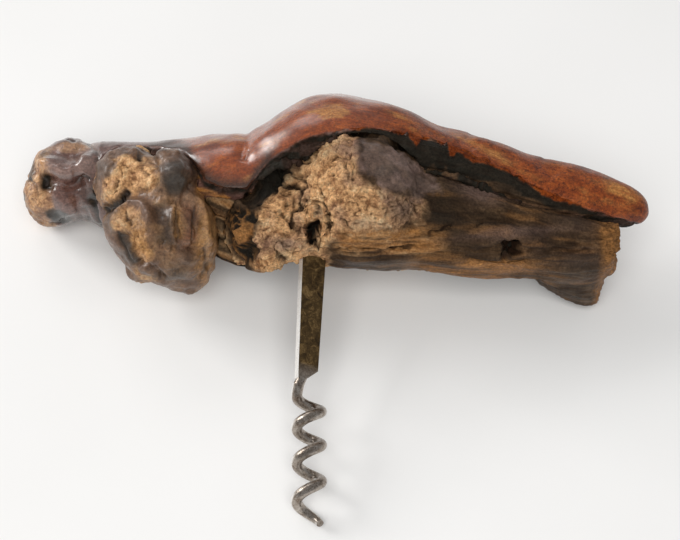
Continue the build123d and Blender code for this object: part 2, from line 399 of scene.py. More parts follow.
LIMB_CREASES = (
    (((-61, 46.5), (-63.5, 44), (-65.8, 42.3), (-66.5, 38), (-68.5, 33), (-69.5, 30.5), (-68, 26), (-66, 22)),
     0.8, 2.3),
    (((-71.5, 30), (-70.3, 26), (-68.6, 22.5)), 0.6, 0.6),
    (((-73.5, 36.5), (-72, 38), (-70, 37)), 0.6, 0.9),
    (((-26.3, 46), (-27.2, 43)), 0.3, 0.35),
    (((-24.8, 45.8), (-25.8, 42.6)), 0.3, 0.3),
    (((-60.5, 44), (-57.5, 43.5), (-55.5, 44.5)), 0.9, 1.2),
    (((-84, 47.5), (-80, 49), (-73, 49)), 0.6, 0.9),
    (((-70.5, 48), (-68, 45), (-67, 42)), 0.6, 0.7),
    (((-77, 25.8), (-81, 24.6)), 0.5, 0.7),
    (((-88, 38), (-85.5, 36), (-84.5, 32)), 0.4, 0.6),
)
BURL_CRACKS = (
    (((-66.5, 27.5), (-63.5, 29.5), (-61, 31.5), (-58.5, 33.8)), 0.7, 2.0),
    (((-63, 34), (-61.5, 37)), 0.4, 0.8),
    (((-59.5, 28.5), (-59, 25.5)), 0.35, 0.8),
    (((-58.5, 26.5), (-57.5, 24)), 0.3, 0.6),
    (((-57, 44.5), (-55, 43)), 0.9, 1.6),
    (((-56.5, 41), (-53, 38.5)), 0.35, 0.5),
    (((-40.2, 30), (-40.5, 24), (-41, 18.5)), 0.45, 0.8),
    (((-44.6, 29.5), (-45.2, 25), (-44.5, 20)), 0.4, 0.6),
    (((-62, 22.5), (-60, 18), (-57.5, 13)), 0.5, 0.7),
    (((-37, 18), (-36.5, 13), (-38, 9)), 0.6, 0.8),
)

# Cork on the left burl: how much, and where.
BURL_CORK = (
    (0.72, ((-65, 36), (-62.5, 43), (-57, 43.5), (-52, 42), (-50, 38), (-52, 34), (-56, 33.5), (-60, 34),
            (-64, 30), (-65.5, 32))),
    (0.65, ((-64.5, 27), (-60, 29.5), (-56, 28.8), (-54.5, 25), (-57, 22), (-62.5, 23))),
    (0.8, ((-58.5, 23), (-54.5, 23), (-52.5, 17), (-54, 14), (-58, 17))),
    (0.6, ((-56.5, 10.8), (-52, 10.6), (-50.5, 8), (-56, 7.5))),
    (0.12, ((-50, 15.5), (-42, 14.5), (-39, 10), (-45, 7), (-49, 9))),
    (0.35, ((-47, 30.5), (-44, 31), (-43.2, 25), (-43.8, 20), (-46, 20), (-46.8, 25))),
    (0.2, ((-39.8, 33), (-37, 31), (-34.5, 20), (-35, 12), (-38.5, 12), (-38.5, 22))),
)


# --- Carving ---------------------------------------------------------------------------------

def carve_centre():
    """Centre burl, dead trunk and its foot: one piece of heart wood."""
    skin = Skin("wood_centre", [
        "centre_burl_dome", "centre_burl_lobe", "centre_burl_crest", "heart_trunk", "trunk_foot",
    ], PITCH, 5, 2.6)
    p = skin.co.copy()
    q = skin.marks()
    front = skin.front()
    edge = 1.9 * noise(p, 3.4, 5) + 1.0 * noise(p, 1.3, 6)
    back = 1 - front
    burl = ramp(p[:, 0], 27, 22)
    cork = ramp(inside(q, CORK) + edge, -1.6, 1.6) * front + back * burl * ramp(edge, -0.5, 0.8)
    cork = np.clip(cork, 0, 1)
    leather = ramp(inside(q, DARK_SKIN) + 0.8 * edge, -1.2, 1.2) * front
    cork = cork * (1 - leather)
    groove = ramp(inside(q, GROOVE) + 0.5 * edge, -0.3, 1.2) * front
    trunk = ramp(p[:, 0], 18, 28) * (1 - leather)
    recess = ramp(inside(q, RECESS) + 0.4 * edge, -0.4, 0.8) * front

    # The burl: a deep groove under the limb, its lumps, and the opening above the steel.
    skin.push(
        -2.6 * groove
        - 2.8 * spot(q, (-16.5, 38.5), 3.0, 4.0, -30) * front
        - 2.4 * recess
        + front * (
            1.6 * spot(q, (3.5, 37), 3.0, 4.0)
            + 1.0 * spot(q, (3.5, 45), 2.6, 3)
            - 1.6 * spot(q, (10.5, 31), 2.2, 1.9)
            + 1.0 * spot(q, (16, 30.5), 3.2, 3.0)
            - 1.3 * spot(q, (-5.5, 33), 4.5, 3.0)
            + 1.3 * spot(q, (-14, 31), 3.2, 3.2)
            + 1.4 * spot(q, (-7, 27.6), 2.6, 1.8)
            - 1.0 * stroke(q, ((-21, 25), (-16, 22), (-12, 21)), 1.5)
            + 1.1 * spot(q, (-14, 17), 4.5, 2.6)
            + 0.9 * stroke(q, ((-2, 20.5), (8, 20), (20, 22.5)), 1.0)
            + 1.0 * stroke(q, ((0, 15.2), (12, 14.2), (26, 16)), 1.3)
            - 1.0 * stroke(q, ((20, 24), (27, 22.5), (34, 24)), 1.6)
            + 1.6 * stroke(q, ((38, 18.5), (44.5, 20.8), (50, 22.3), (55.5, 20), (60, 17.5)), 1.4)
            - 1.3 * stroke(q, ((36, 15.5), (46, 13.6), (56, 14.5)), 1.3)
            - 1.4 * stroke(q, ((25, 33), (32, 29.5), (41, 25.5), (56, 24.5)), 2.2)
            + 1.0 * stroke(q, ((34, 33), (46, 30), (60, 26.5), (72, 25)), 1.8)
        )
    )
    skin.smooth(3)
    smooth_shape = skin.co.copy()
    q = skin.marks()

    # Long waves and fibres of the trunk.
    lie = p.copy()
    lie[:, 1] += 0.05 * (p[:, 0] - 50) + 1.5 * noise(p, 22, 40)
    waves = noise(lie, (46, 7, 7), 41) + 0.45 * noise(lie, (26, 3.2, 3.2), 42)
    fibres = ridges(lie, (20, 1.9, 1.9), 3, 43) - 0.5
    skin.push(trunk * (1.3 * waves + 1.05 * fibres) + (1 - trunk) * 0.5 * noise(p, 7, 44))

    # Layers that wrap under the burl.
    layers = front * ramp(q[:, 0], -2, 3) * ramp(q[:, 0], 34, 24) * ramp(q[:, 1], 25, 21)
    wrap = q[:, 1] - 0.004 * (q[:, 0] - 8) ** 2
    strata = ridges(np.stack([q[:, 0] / 9, wrap, p[:, 2] * 0.2], axis=1), (1, 1.35, 2), 2, 50) - 0.45
    skin.push(1.1 * layers * strata)

    relief = cork_relief(p, 60)
    cork = cork * (1 - 0.4 * layers)
    bright_layers = layers * ramp(strata, -0.45, 0.05) * ramp(q[:, 1], 15, 17)
    skin.push(cork * (1.45 * relief + 0.8 * fbm(p, 4.6, 2, 78)))
    plank = p.copy()
    plank[:, 1] += 0.45 * p[:, 0]
    chip = ramp(inside(q, CHIP), -0.4, 0.5) * front
    planks = ridges(plank, (16, 2.6, 2.6), 2, 52) - 0.5
    skin.push(recess * (1.6 * planks + 0.3 * noise(p, 1.6, 53)) * (1 - chip) + 1.3 * chip
              - 2.2 * spot(q, (-24.5, 17), 1.9, 1.7) * front)
    pores, _, _ = cells(p, 1.7, 71)
    speck = front * spot(q, (19, 30.5), 7, 5)
    seam = stroke(q, ((6.2, 49), (6.0, 45), (7.1, 41), (8.8, 38.6)), 1.1) * front
    skin.push(-0.5 * speck * ramp(pores, 0.42, 0.2) + 0.5 * leather * fbm(p, 2.8, 3, 72) + 0.85 * seam
              + 0.8 * groove * fbm(p, 2.4, 3, 75))

    wander = np.stack([noise(p, 2.2, 80), noise(p, 2.2, 81)], axis=1) * 0.8
    w = q + wander
    cracks = crack_depth(w, CENTRE_CRACKS) * front
    knot = ramp(inside(w, KNOT), -0.2, 1.1) * front
    slit = ramp(inside(w, SLIT), -0.3, 1.0) * front
    hole = ramp(inside(w, HOLE), -0.3, 0.7) * front
    cracks = cracks + 2.6 * slit + 5.5 * hole
    skin.push(-cracks - 4.2 * knot)

    # The broken end.
    end = ramp(p[:, 0], 73, 79)
    torn = ridges(p * [0.35, 1, 1], 3.0, 3, 90)
    skin.co[:, 0] -= end * 1.5 * torn
    skin.co[:, 0] -= ramp(p[:, 0], 66, 80) * 0.5 * ramp(noise(p, (9, 5, 5), 91), 0, 0.6)
    skin.smooth(1)

    # Painted shade mask: how far the carving sank below the skin round it.
    painted_cavity_shade = hollow_shade(skin, smooth_shape, 0.48)
    streak = noise(lie, (24, 2.4, 2.4), 95) + 0.6 * noise(lie, (9, 1.1, 1.1), 96)
    underside = trunk * front * ramp(p[:, 0], 68, 50) * ramp(q[:, 1], 18, 14.5)
    amber = (
        0.35 * ramp(streak, 0.3, 1.1) * trunk
        + layers * 1.2 * ramp(strata, -0.45, 0.1) * ramp(q[:, 1], 15.5, 17.5)
        + layers * 0.3 * ramp(noise(p, (8, 2, 2), 97), -0.3, 0.5)
        + 0.85 * underside * ramp(noise(p, (14, 2, 3), 77), -0.6, 0.4)
        + 0.8 * ramp(p[:, 0], 74, 77.5)
        + 0.6 * spot(q, (78, 24), 4, 5)
    )
    skin.masks = {
        "cork": np.maximum(cork, 0.75 * bright_layers),
        "gold": amber * (1 - 0.6 * cork) + chip + recess * ramp(planks, -0.1, 0.3) * 0.8,
        "dark": (
            groove * (0.6 + 0.4 * ramp(noise(p, (5, 1.5, 2), 73), 0.4, -0.3))
            # Painted shade: the knot hole, the hole above the steel, the slit and the cracks are darkened
            # inside.
            + knot
            + hole
            + 0.9 * slit
            + 0.5 * cracks
            + 0.35 * leather * ramp(noise(p, (7, 3, 4), 79), 0.1, 0.8)
            # Painted shade: the gaps between the recess planks, the pit at the recess foot and the pit in the
            # groove.
            + recess * ramp(planks, 0.05, -0.25) * (1 - chip)
            + spot(q, (-24.5, 17), 2.2, 2) * front
            + spot(q, (-16.5, 38.5), 4, 5)
            + 0.25 * trunk * ramp(streak, 0, -0.8)
            + 0.55 * trunk * front * spot(q, (31, 28), 7, 7)
            # Darker spots on the cork; the two at its upper left, beside the groove under the limb, are
            # painted shade.
            + cork * front * (
                0.5 * spot(q, (-5, 45.5), 6, 3.5)
                + 0.45 * spot(q, (-12, 41), 4, 5)
                + 0.45 * spot(q, (19, 28), 5, 5)
            )
        ),
        "gloss": 0.75 * leather + 0.6 * ramp(q[:, 1], 16.5, 13) * ramp(p[:, 0], -2, 4),
        "pale": (
            0.5 * cork * ramp(noise(p, 4.5, 99), -0.1, 0.7)
            + cork * front * (
                0.9 * spot(q, (3.6, 46), 3.0, 3)
                + 0.8 * spot(q, (-12, 19), 5, 2.2)
                + 0.7 * spot(q, (-11, 26), 2, 2)
                + 1.0 * spot(q, (19, 29), 5.5, 5)
                + 0.6 * spot(q, (6, 24.5), 4, 2)
            )
            # Painted highlight along the seam ridge at the left edge of the dark skin.
            + 0.6 * seam
            + leather * (0.42 + 0.5 * ramp(noise(p, (6, 2.5, 4), 74), -0.1, 0.7))
            + 0.12 * trunk * ramp(noise(p, (14, 5, 5), 76), 0, 0.8)
            + trunk * (0.8 * spot(q, (41, 33.5), 6, 1.8, -12) + 0.5 * spot(q, (50, 22), 16, 1.3, 5))
        ),
        "painted_cavity_shade": painted_cavity_shade,
        "red": np.zeros(len(p)),
    }
    return skin, np.stack([lie[:, 0] / 9, lie[:, 1], lie[:, 2]], axis=1)


def carve_limb():
    """The polished live limb over the crown, its bark-covered neck and the end knob it grows into."""
    skin = Skin("wood_live_limb", ["live_limb", "end_knob"], PITCH, 5, 2.5)
    p = skin.co.copy()
    q = skin.marks()
    front = skin.front()
    ragged = ramp(p[:, 0], 10, 16) * ramp(p[:, 0], 60, 40)
    wander = 0.4 * noise(p, 3.0, 105) + 0.8 * ragged * noise(p, (1.1, 4, 4), 104)
    over = above(q, LIMB_EDGE) + wander
    red = ramp(over, -0.35, 0.35)
    red = red * np.maximum(front, ramp(noise(p, 12, 107), -0.9, -0.2))
    red = red * ramp(q[:, 0] + 2.0 * noise(p, 4, 108), -58, -53)
    neck = ramp(q[:, 0], -54, -58)
    under = ramp(over, 0.2, -0.9) * (1 - neck)
    ledge = under * ramp(over, -1.6, -2.4) * ramp(q[:, 0], -21, -25)
    skin.push(
        -0.9 * under
        + 0.45 * noise(p, (16, 9, 9), 110)
        + 0.3 * noise(p, (7, 5, 5), 111)
        + front * (
            -0.8 * stroke(q, ((-25, 53), (-25.5, 48), (-26.5, 42)), 1.6)
            + 0.3 * spot(q, (-19, 50), 6, 4, 30)
            + 0.7 * spot(q, (-31, 44), 7, 4)
            - 0.5 * stroke(q, ((37, 50), (40, 46)), 2.5)
            - 0.5 * stroke(q, ((58, 43), (63, 38)), 3)
            + 2.6 * stroke(q, KNOB_LIP, 2.2)
            - 0.9 * stroke(q, ((-83.5, 39), (-82.5, 36), (-81.5, 31), (-79, 25.5)), 1.3)
            - 1.8 * spot(q, (-75, 45.4), 5.5, 1.9, 4)
            + 1.3 * spot(q, (-84.2, 44.5), 3.0, 3.0)
            - 1.8 * stroke(q, ((-82, 37), (-76.5, 35.2), (-71.5, 37)), 1.4)
            + 1.0 * spot(q, (-86, 33), 3, 5)
            - 0.9 * spot(q, (-75, 34.5), 2.6, 2)
            + 0.8 * stroke(q, ((-78, 37), (-77, 31), (-75, 26)), 1.8)
            - 0.8 * stroke(q, ((-74, 33), (-72.8, 28), (-71, 24)), 1.0)
            + 0.6 * spot(q, (-71, 38), 2.2, 3)
        )
        - 1.6 * spot(q, (-73.5, 24), 4.5, 3)
        + 2.2 * spot(q, (-66, 24.5), 3.4, 4.5)
    )
    skin.smooth(3)
    shape = skin.co.copy()
    q = skin.marks()
    end = ramp(q[:, 0] + 0.12 * (q[:, 1] - 34) + 1.6 * noise(p, 3, 141), -79.8, -83)
    scar = ramp(spot(q, (-75, 46.4), 7.0, 2.2, 4) + 0.25 * noise(p, 2.5, 142), 0.35, 0.75) * front
    pit = spot(q, (-82.3, 36), 1.5, 1.9) * front
    patch = ramp(spot(q, (-79, 26.8), 4.2, 1.9, -20), 0.25, 0.6) * front
    w = q + 0.5 * np.stack([noise(p, 2.5, 112), noise(p, 2.5, 113)], axis=1)
    creases = crack_depth(w, LIMB_CREASES) * front
    rings = (ridges(p, (2.8, 14, 14), 2, 114) - 0.5) * ramp(p[:, 0], -60, -66) * ramp(p[:, 0], -83, -79)
    cork = np.clip(end * 0.6 + scar * 0.3 + 0.6 * (1 - front) * ramp(noise(p, 9, 132), 0.2, 0.7), 0, 1)
    relief = cork_relief(p, 120)
    spine = np.interp(p[:, 0], (-80, -36, -14, 0, 14, 42, 72, 90), (38, 40.6, 47.4, 51.8, 50, 40.6, 32.1, 28))
    lie = np.stack([p[:, 0], p[:, 1] - spine, p[:, 2]], axis=1)
    skin.push(
        -creases - 2.2 * pit + 0.35 * rings + 1.0 * under * (1 - ledge) * relief + 0.6 * cork * relief
        + ledge * (1.2 + 0.8 * (ridges(lie, (14, 1.6, 1.6), 2, 116) - 0.5))
        + 0.05 * fbm(p, 3, 2, 115) * red
    )
    skin.smooth(1)
    patches = noise(lie, (9, 4, 6), 130)
    patches = patches + 0.5 * noise(lie, (3.5, 1.6, 3), 131) + 0.25 * noise(lie, (1.6, 0.8, 1.2), 129)
    crown = 1.1 * spot(q, (-2, 57.5), 8, 2.6, 8) + 0.8 * spot(q, (6, 59), 4, 1.5)
    gold = (
        0.5 * ramp(patches, 0.1, 1.1)
        + 0.9 * ramp(patches + crown, 0.5, 1.5)
        + 0.45 * ramp(p[:, 0], 8, 30) * ramp(patches, -0.4, 0.9)
    )
    skin.masks = {
        "cork": cork,
        "gold": (
            np.clip(gold, 0, 1) * red * ramp(over, 0.5, 4.5)
            + cork * ramp(noise(p, 4, 151), -0.2, 0.8)
            + ledge * ramp(noise(lie, (7, 1.2, 1.2), 117), -0.2, 0.5)
        ),
        "dark": (
            under * (1 - 0.85 * ledge) * (0.75 + 0.25 * ramp(noise(p, (4, 1.5, 2), 154), 0.3, -0.3))
            # Painted shade: the red wood darkens over its last few millimetres above the lower edge, where it
            # turns down into the groove.
            + 0.85 * ramp(over, 5.5, 0.3) * red * ramp(q[:, 0], -14, -20) * front
            # Painted shade in the creases.
            + 0.6 * creases
            + 0.5 * ramp(noise(p, 8, 133), 0.1, 0.8) * neck
            # Painted shade in the pit at the knob's end.
            + 1.2 * pit
            + 0.9 * patch
            + 0.8 * ramp(noise(p, (5, 3, 5), 152), 0.0, 0.7) * end
        ),
        "gloss": (1 - under) * (1 - cork) * (0.4 + 0.75 * ramp(p[:, 0], 22, 0)),
        "pale": (
            0.35 * neck * ramp(noise(p, 6, 134), 0, 0.7)
            # Painted highlight along the knob's lip.
            + 0.9 * stroke(q, KNOB_LIP, 1.3) * front
            + 0.4 * end * ramp(noise(p, 3, 153), 0, 0.8)
        ),
        # Painted shade in the carved dips.
        "painted_cavity_shade": hollow_shade(skin, shape, 0.5),
        "red": red,
    }
    return skin, np.stack([lie[:, 0] / np.where(neck > 0.5, 2.5, 7), lie[:, 1], lie[:, 2]], axis=1)


def carve_left_burl():
    """The left burl with its boss, chin and toe."""
    skin = Skin("wood_left_burl", ["left_burl", "burl_boss", "burl_chin", "burl_toe"], PITCH, 6, 4.0)
    p = skin.co.copy()
    q = skin.marks()
    front = skin.front()
    oval = np.sqrt(((q[:, 0] + 42.2 + 0.06 * (q[:, 1] - 24)) / 3.4) ** 2 + ((q[:, 1] - 24) / 7.2) ** 2)
    skin.push(front * (
        -1.9 * stroke(q, ((-68, 27), (-65, 29), (-62, 31), (-58, 33)), 1.0)
        - 1.2 * stroke(q, ((-58, 33), (-54, 33.2), (-50, 31.5)), 1.2)
        + 1.7 * stroke(q, ((-62, 29), (-58.8, 30.4), (-54.8, 30.2), (-52.7, 27), (-53.4, 22)), 1.2)
        + 0.9 * spot(q, (-61, 26), 3.4, 3.6)
        - 0.9 * spot(q, (-57.5, 26), 2.2, 2.4)
        + 1.6 * stroke(q, ((-55.5, 22), (-54.5, 17), (-51, 13)), 1.4)
        - 2.0 * stroke(q, ((-60.5, 22.5), (-57.5, 18), (-54.5, 13)), 1.2)
        - 1.4 * stroke(q, ((-50.2, 31), (-49.8, 25), (-49.5, 18)), 1.9)
        - 1.0 * np.exp(-((oval - 0.9) ** 2) / 0.03)
        + 0.8 * np.exp(-((oval - 1.3) ** 2) / 0.02)
        - 2.2 * stroke(q, ((-57.5, 13), (-53, 13.5), (-48.5, 8)), 1.0)
        - 2.0 * stroke(q, ((-52.5, 44), (-51.5, 39), (-51.8, 34)), 1.3)
        - 2.0 * stroke(q, ((-40, 36), (-43.5, 32.5), (-48, 31.5)), 1.3)
        + 1.6 * spot(q, (-45.5, 39.5), 3.6, 3.2, 40)
        + 1.4 * spot(q, (-42, 12), 5.0, 2.8)
        - 1.7 * stroke(q, ((-47, 17.5), (-42, 16.5), (-37.5, 18)), 1.2)
        + 1.4 * stroke(q, ((-39.5, 33), (-37.5, 26), (-36.5, 18)), 1.3)
        - 1.2 * spot(q, (-58, 38.5), 3.2, 2.4, 30)
    ) + 2.6 * spot(q, (-63.5, 24.5), 4.0, 5.5, 20) + 0.7 * noise(p, 6, 160) + 0.5 * noise(p, 2.6, 159))
    skin.smooth(2)
    shape = skin.co.copy()
    q = skin.marks()
    edge = 1.3 * noise(p, 2.6, 161) + 0.6 * noise(p, 1.1, 162)
    cork = np.zeros(len(p))
    for share, outline in BURL_CORK:
        cork = np.maximum(cork, share * ramp(inside(q, outline) + edge, -1.6, 1.4))
    cork = np.maximum(cork, 0.15 * ramp(noise(p, 4.5, 158), 0.0, 0.6))
    cork = cork * front + (1 - front) * ramp(noise(p, 8, 163), 0.1, 0.6)
    boss = ramp(inside(q, BOSS), -1.0, 1.5) * front
    w = q + 0.5 * np.stack([noise(p, 2.2, 164), noise(p, 2.2, 165)], axis=1)
    cracks = crack_depth(w, BURL_CRACKS) * front
    upright = np.stack([q[:, 0] - 0.35 * q[:, 1], q[:, 1] / 6, p[:, 2] / 4], axis=1)
    furrows = (ridges(upright, (1.7, 1, 1), 2, 166) - 0.5) * ramp(oval, 1.6, 1.1) * front
    skin.push(-cracks + 0.45 * furrows + 1.25 * cork * cork_relief(p, 167) + 0.3 * fbm(p, 3, 3, 168))
    skin.smooth(1)
    scar = ramp(oval, 1.15, 0.85) * front
    skin.masks = {
        "cork": cork * (1 - 0.8 * boss),
        "gold": (
            cork * ramp(noise(p, 4, 170) + 1.3 * spot(q, (-56, 19), 2.4, 4), 0, 0.9)
            + 0.55 * ramp(q[:, 0] + edge, -40.5, -38) * front
            + 0.6 * stroke(q, ((-45.4, 30), (-44.6, 25), (-44.8, 20)), 1.3) * front
        ),
        "dark": (
            0.5 * boss
            # Painted shade in the cracks.
            + 0.6 * cracks
            + 0.4 * spot(q, (-44.5, 11), 6, 4) * front
            # Painted shade along carved grooves and the valley.
            + 0.5 * stroke(q, ((-68, 27), (-65, 29), (-62, 31), (-58, 34)), 1.0) * front
            + 0.55 * stroke(q, ((-50, 31), (-48.8, 25), (-48.6, 18)), 2.2) * front
            + 0.8 * stroke(q, ((-61.5, 22.5), (-58.5, 17.5), (-56, 13)), 1.8) * front
            + 0.4 * ramp(noise(p, 5, 171), 0.1, 0.8) * (1 - 0.5 * cork)
        ),
        "gloss": 0.7 * (1 - 1.3 * cork),
        "pale": (
            0.25 * ramp(noise(p, 6, 134), 0, 0.7) * ramp(q[:, 1], 12, 18)
            + 0.4 * cork * ramp(noise(p, 3, 172), 0, 0.8)
            # Painted highlight on the upper left of the boss.
            + 0.6 * spot(q, (-47, 40), 2.5, 2) * front
        ),
        # Painted shade in the carved dips.
        "painted_cavity_shade": hollow_shade(skin, shape, 0.5),
        "red": 0.25 * scar,
    }
    return skin, p * [1, 1 / 2.2, 1 / 1.5]


def carve_ribs():
    """Splintered ribs in the recess between the burls."""
    made = []
    for number, level in enumerate(("upper", "middle", "lower")):
        skin = Skin(f"wood_recess_{level}", [f"recess_rib_{level}"], 0.75 * PITCH, 4)
        p = skin.co.copy()
        lie = p.copy()
        lie[:, 1] += 0.42 * p[:, 0]
        shape = skin.co.copy()
        splinters = ridges(lie, (14, 1.5, 1.5), 3, 180 + number) - 0.5
        skin.push(0.75 * splinters + 0.3 * noise(p, 4, 190 + number))
        skin.smooth(1)
        q = skin.marks()
        streak = noise(lie, (8, 1.3, 1.3), 195)
        skin.masks = {
            "cork": np.full(len(p), 0.35),
            "gold": ramp(streak, -0.1, 0.7) + spot(q, (-26, 21.5), 4, 3.5),
            "dark": (
                0.75 * ramp(streak, 0.1, -0.5)
                # Painted shade: darker deeper in the recess, and in the pit at its foot.
                + 0.6 * ramp(p[:, 2], 20, 15)
                + spot(q, (-24.5, 17), 2.6, 2.0)
                - 0.6 * spot(q, (-26, 21.5), 3.4, 3)
            ),
            "gloss": np.zeros(len(p)),
            "pale": np.zeros(len(p)),
            # Painted shade in the carved dips.
            "painted_cavity_shade": hollow_shade(skin, shape, 0.5),
            "red": np.zeros(len(p)),
        }
        made.append((skin, np.stack([lie[:, 0] / 7, lie[:, 1], lie[:, 2]], axis=1)))
    return made


def carve_bark():
    """Near-black bark that lines the seam under the limb."""
    skin = Skin("wood_bark_strip", ["bark_strip"], 0.85 * PITCH, 5)
    p = skin.co.copy()
    lie = p.copy()
    lie[:, 1] += 0.27 * p[:, 0]
    shape = skin.co.copy()
    q = skin.marks()
    depth = np.interp(p[:, 0], (20, 28, 40, 59, 69, 80), (9, 7.7, 4.6, 2.6, 1.6, 0.8))
    over = above(q, LIMB_EDGE)
    black = ramp(over + depth + 0.7 * noise(p, (6, 1.2, 2), 206), -0.5, 0.5)
    tongues = ramp(over + 0.6 * noise(p, (1.1, 4, 4), 207), -0.25, 0.25)
    skin.push(
        1.1 * (ridges(lie, (16, 1.8, 1.8), 3, 200) - 0.5)
        + 0.5 * noise(p, 3, 201)
        + 0.4 * tongues
        + 0.3 * ramp(p[:, 0], 40, 10) * cork_relief(p, 202)
    )
    skin.smooth(1)
    streak = noise(lie, (10, 1.4, 1.4), 205)
    skin.masks = {
        "cork": np.zeros(len(p)),
        "gold": 0.7 * (1 - black) * ramp(streak, -0.3, 0.7),
        "dark": 0.9 * black + 0.3 * ramp(streak, 0, -0.6) - tongues,
        "gloss": np.full(len(p), 0.15),
        "pale": 0.3 * ramp(streak, 0.1, 0.8) * (1 - black),
        # Painted shade in the carved dips.
        "painted_cavity_shade": hollow_shade(skin, shape, 0.5),
        "red": tongues,
    }
    return skin, np.stack([lie[:, 0] / 8, lie[:, 1], lie[:, 2]], axis=1)


# --- Materials -------------------------------------------------------------------------------

class Graph:
    """A material's node tree, with short calls for adding and linking nodes."""

    def __init__(self, name):
        self.material = bpy.data.materials.new(name)
        self.material.use_nodes = True
        self.tree = self.material.node_tree
        self.tree.nodes.clear()

    def add(self, kind, settings=None, **inputs):
        node = self.tree.nodes.new(kind)
        for key, value in (settings or {}).items():
            setattr(node, key, value)
        for key, value in inputs.items():
            self.give(node.inputs[key.replace("_", " ")], value)
        return node

    def give(self, socket, value):
        if isinstance(value, bpy.types.NodeSocket):
            self.tree.links.new(value, socket)
        else:
            socket.default_value = value

    def mask(self, name):
        return self.add("ShaderNodeAttribute", {"attribute_name": name}).outputs["Fac"]

    def grain(self):
        return self.add("ShaderNodeAttribute", {"attribute_name": "grain"}).outputs["Vector"]

    def place(self):
        return self.add("ShaderNodeTexCoord").outputs["Object"]

    def noise(self, vector, scale, detail=4.0, rough=0.6, twist=0.0):
        return self.add("ShaderNodeTexNoise", Vector=vector, Scale=scale, Detail=detail, Roughness=rough,
                        Distortion=twist).outputs["Fac"]

    def colours(self, factor, *stops):
        node = self.add("ShaderNodeValToRGB", Fac=factor)
        band = node.color_ramp
        for k, (at, colour) in enumerate(stops):
            stop = band.elements[k] if k < 2 else band.elements.new(at)
            stop.position = at
            stop.color = (*colour, 1)
        return node.outputs["Color"]

    def mix(self, factor, a, b, blend="MIX"):
        node = self.add("ShaderNodeMix", {"data_type": "RGBA", "blend_type": blend})
        for socket, value in ((node.inputs[0], factor), (node.inputs[6], a), (node.inputs[7], b)):
            self.give(socket, value if isinstance(value, (bpy.types.NodeSocket, float, int)) else (*value, 1))
        return node.outputs[2]

    def math(self, operation, a, b=0.0, clamp=False):
        node = self.add("ShaderNodeMath", {"operation": operation, "use_clamp": clamp})
        self.give(node.inputs[0], a)
        self.give(node.inputs[1], b)
        return node.outputs[0]

    def span(self, value, from_low, from_high, to_low=0.0, to_high=1.0):
        node = self.add(
            "ShaderNodeMapRange",
            Value=value,
            From_Min=from_low,
            From_Max=from_high,
            To_Min=to_low,
            To_Max=to_high,
        )
        return node.outputs[0]

    def close(self, **inputs):
        shader = self.add("ShaderNodeBsdfPrincipled", **inputs)
        self.add("ShaderNodeOutputMaterial", Surface=shader.outputs[0])
        return self.material


RED = ((0.082, 0.013, 0.003), (0.23, 0.047, 0.008), (0.38, 0.095, 0.014))
CRUMB = ((0.31, 0.146, 0.063), (0.82, 0.47, 0.222), (0.97, 0.68, 0.38))
GOLD = ((0.3, 0.12, 0.03), (0.6, 0.33, 0.11))
# Near-black of bark, also used as painted shade in cracks, holes and pits.
BARK_AND_SHADE = ((0.005, 0.004, 0.003), (0.03, 0.026, 0.019))


